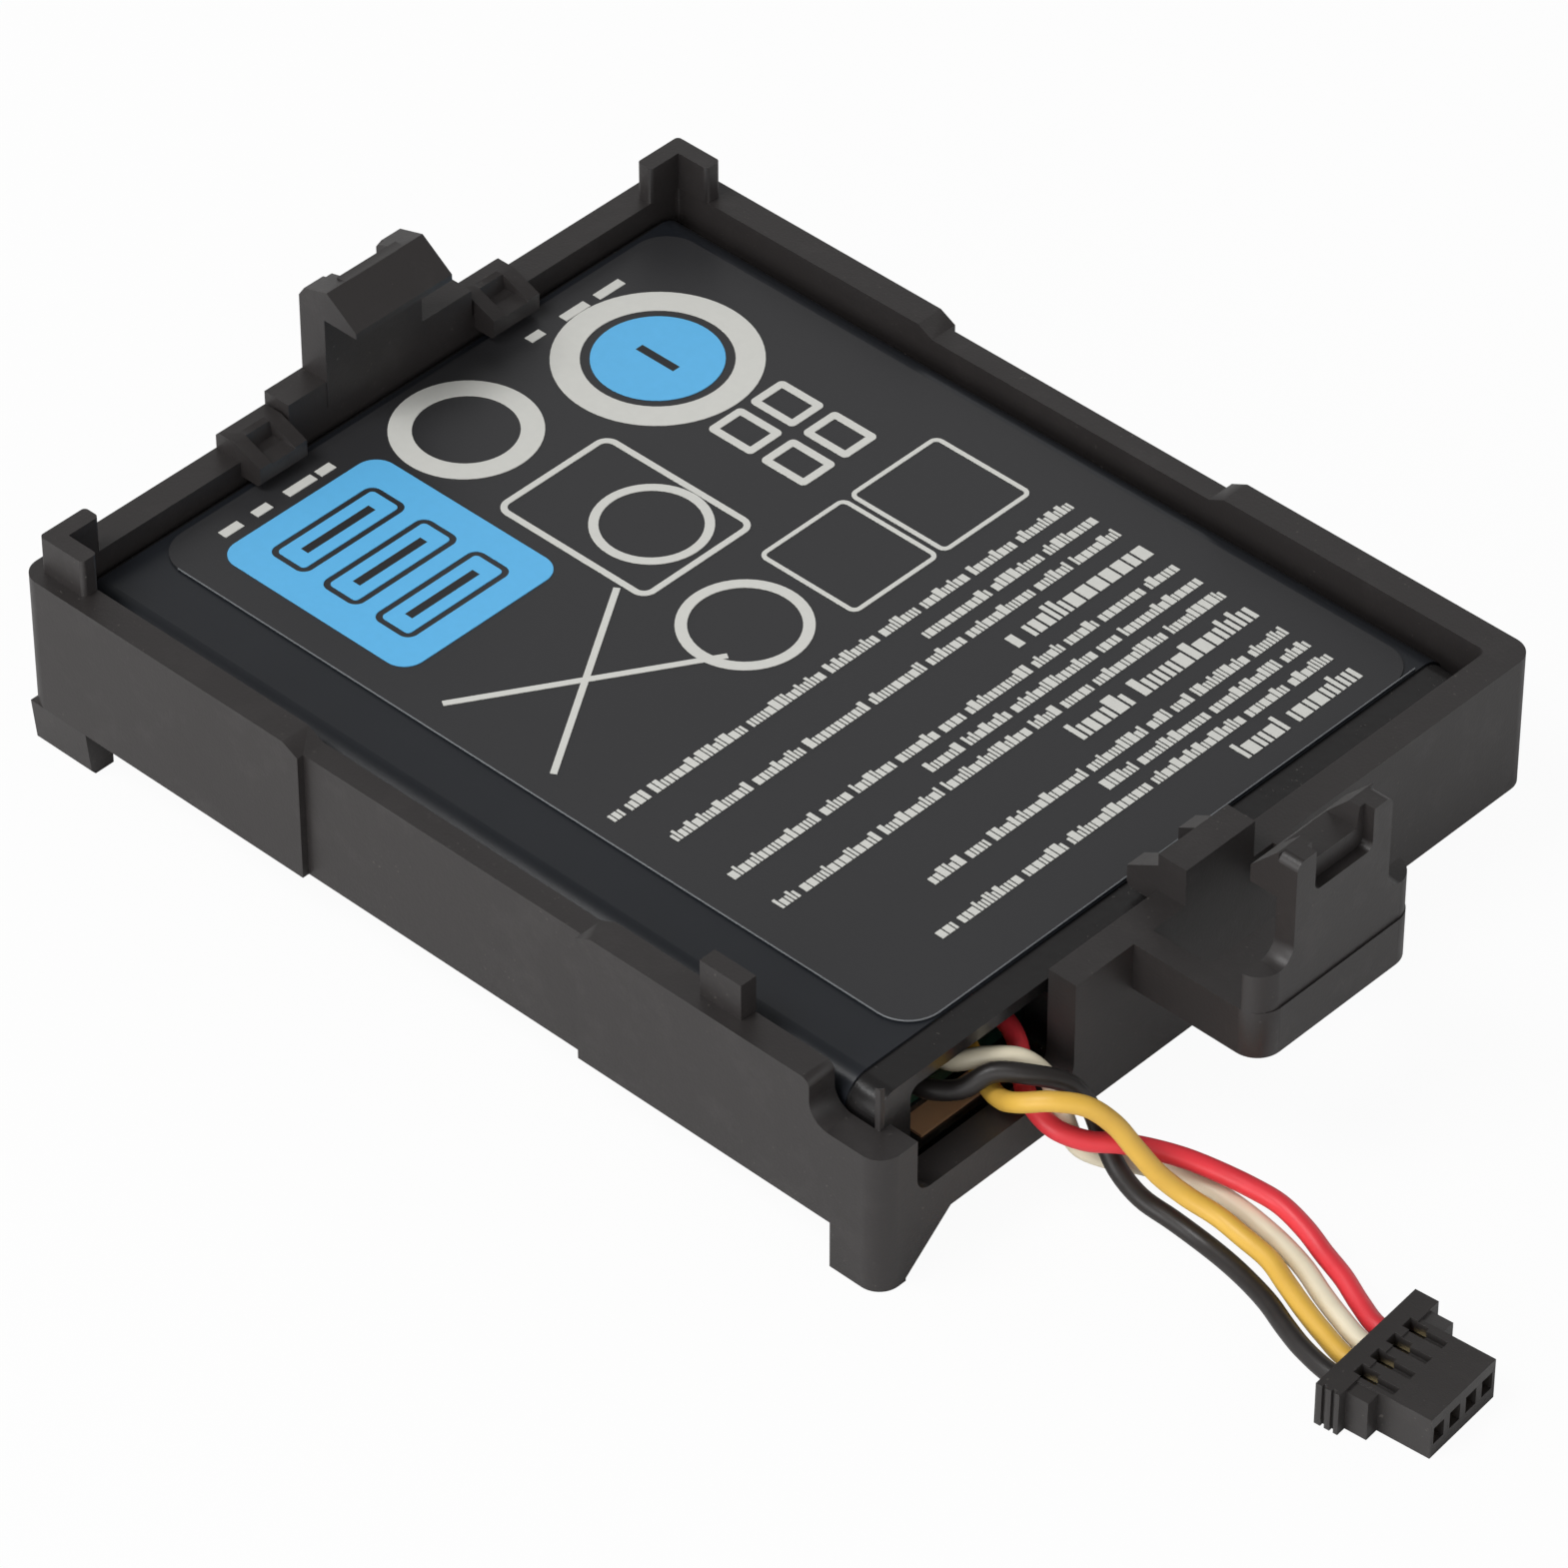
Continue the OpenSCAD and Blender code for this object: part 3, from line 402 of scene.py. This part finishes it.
coarse = [vert for vert in work.verts if vert.co.x > text_from * mm]
bmesh.ops.delete(work, geom=coarse, context="VERTS")
for x, y_end, height in text_rows:
    y = text_edge
    left = draw.randint(5, 16)
    while y > y_end:
        width = height * draw.choice((0.18, 0.2, 0.34, 0.5))
        tall = height * draw.choice((0.72, 0.72, 1.0))
        centre = Vector((x + (height - tall) / 2, y - width / 2, label_top + ink_t / 2)) * mm
        size = Matrix.Diagonal((tall * mm, width * mm, ink_t * mm, 1))
        bmesh.ops.create_cube(work, size=1, matrix=Matrix.Translation(centre) @ size)
        y -= width + height * letter_gap
        left -= 1
        if left == 0:
            y -= height * word_gap
            left = draw.randint(4, 18)
work.to_mesh(print_white.data)
work.free()
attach(print_white, "root")
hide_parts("print_white")
for node, colour in {"print_blue": (0.13, 0.53, 0.93), "print_dark": (0.02, 0.02, 0.022)}.items():
    refinish(node, ink("ink_" + node, colour))

# ---- Inside the pack ---------------------------------------------------------
# What the pack holds: metal, paper, foam and adhesive round the cell, and the
# board with its chips. Each surface keeps the finish it has when it is made.


def plain(name, colour, rough, metal=0.0, size_mm=1.0, depth_mm=0.01):
    """A surface with one colour, uneven by a tenth, and a fine grain."""
    finish = Finish(name, Metallic=metal)
    mottle = finish.noise(size_mm, 3)
    darker = tuple(c * 0.8 for c in colour)
    finish.set(Base_Color=finish.blend(mottle, (*colour, 1), (*darker, 1)))
    finish.set(Roughness=rough - 0.06 + mottle * 0.12)
    finish.set(Normal=finish.bump(finish.noise(size_mm / 4, 2), depth_mm, 0.4))
    return finish.material


finishes = [
    (plain("drawn_metal", (0.6, 0.61, 0.62), 0.3, 1.0, 2), ["cell_can", "cell_cap", "fill_plug"]),
    (plain("nickel", (0.62, 0.6, 0.56), 0.28, 1.0), ["cell_terminal", "tab_negative", "tab_positive",
        "thermal_cutoff"]),
    (plain("solder", (0.66, 0.67, 0.68), 0.22, 1.0, 0.6), ["solder_joints"]),
    (plain("seal", (0.75, 0.72, 0.66), 0.55), ["terminal_gasket"]),
    (plain("paper", (0.72, 0.66, 0.52), 0.8, 0.0, 0.3, 0.02), ["cap_insulator"]),
    (plain("foam", (0.05, 0.05, 0.052), 0.95, 0.0, 0.4, 0.05), ["foam_pad"]),
    (plain("adhesive", (0.6, 0.57, 0.5), 0.6), ["adhesive_tape"]),
    (plain("board_lacquer", (0.012, 0.05, 0.03), 0.3, 0.0, 0.8), ["gauge_board"]),
    (plain("chip_case", (0.025, 0.025, 0.027), 0.6, 0.0, 0.2), ["gauge_chip", "switch_chip"]),
    (plain("glaze", (0.03, 0.03, 0.034), 0.3, 0.0, 0.4), ["sense_resistor", "chip_resistors"]),
    (plain("ceramic", (0.4, 0.27, 0.16), 0.45, 0.0, 0.3), ["chip_capacitors"]),
    (plain("amber", (0.62, 0.36, 0.2), 0.4, 0.0, 2), ["board_tape"]),
]
for material, nodes in finishes:
    for node in nodes:
        refinish(node, material)

# ---- Plug --------------------------------------------------------------------
# A small black housing with a plated contact in each of its four ways.
plug = softened("plug_housing", "plug_shell", 0.07)
plug.data.materials.append(black_moulding("plug_plastic", (0.03, 0.027, 0.026), 0.42, 0.1))
refinish("crimp_terminals", plain("plating", (0.7, 0.55, 0.28), 0.3, 1.0))

# ---- Floor, backdrop and light -----------------------------------------------
# A pale sheet under the module, which shows as white, a sky that is brightest near
# the horizon, and two broad soft lamps.
bpy.ops.mesh.primitive_plane_add(size=3)
floor = bpy.context.object
floor.name = "floor"
sheet = Finish("backdrop", Base_Color=(0.8, 0.8, 0.8, 1), Roughness=0.9)
glow = sheet.node("Emission", {}, {"Color": (1, 1, 1, 1), "Strength": 1.0})
seen = sheet.node("LightPath", out="Is Camera Ray")
glow_seen = 0.95
cover = sheet.node("MixShader", {}, {0: seen * glow_seen, 1: Value(sheet, sheet.shader.outputs[0]), 2: glow})
sheet.tree.links.new(cover.socket, sheet.tree.nodes["Material Output"].inputs[0])
floor.data.materials.append(sheet.material)

world = bpy.data.worlds.new("studio")
bpy.context.scene.world = world
world.use_nodes = True
tree = world.node_tree
where = tree.nodes.new("ShaderNodeTexCoord")
split = tree.nodes.new("ShaderNodeSeparateXYZ")
fade = tree.nodes.new("ShaderNodeMapRange")
fade.interpolation_type = "SMOOTHSTEP"
fade_from = 0.3
fade_to = 0.8
low_sky = 0.95
high_sky = 0.12
for slot, value in {1: fade_from, 2: fade_to, 3: low_sky, 4: high_sky}.items():
    fade.inputs[slot].default_value = value
tree.links.new(where.outputs["Generated"], split.inputs[0])
tree.links.new(split.outputs[2], fade.inputs[0])
tree.links.new(fade.outputs[0], tree.nodes["Background"].inputs[1])
tree.nodes["Background"].inputs[0].default_value = (1, 1, 1, 1)


def lamp(name, place, size, power):
    """A square lamp that faces the module."""
    data = bpy.data.lights.new(name, "AREA")
    data.shape = "SQUARE"
    data.size = size
    data.energy = power
    made = bpy.data.objects.new(name, data)
    made.location = place
    made.rotation_euler = (-Vector(place)).to_track_quat("-Z", "Y").to_euler()
    bpy.context.scene.collection.objects.link(made)


lamp("key", (-0.15, -0.35, 0.6), 0.3, 2.6)
lamp("fill", (0.1, -0.6, 0.12), 0.4, 1.6)

bpy.context.scene.view_settings.view_transform = "Standard"

bpy.context.view_layer.update()
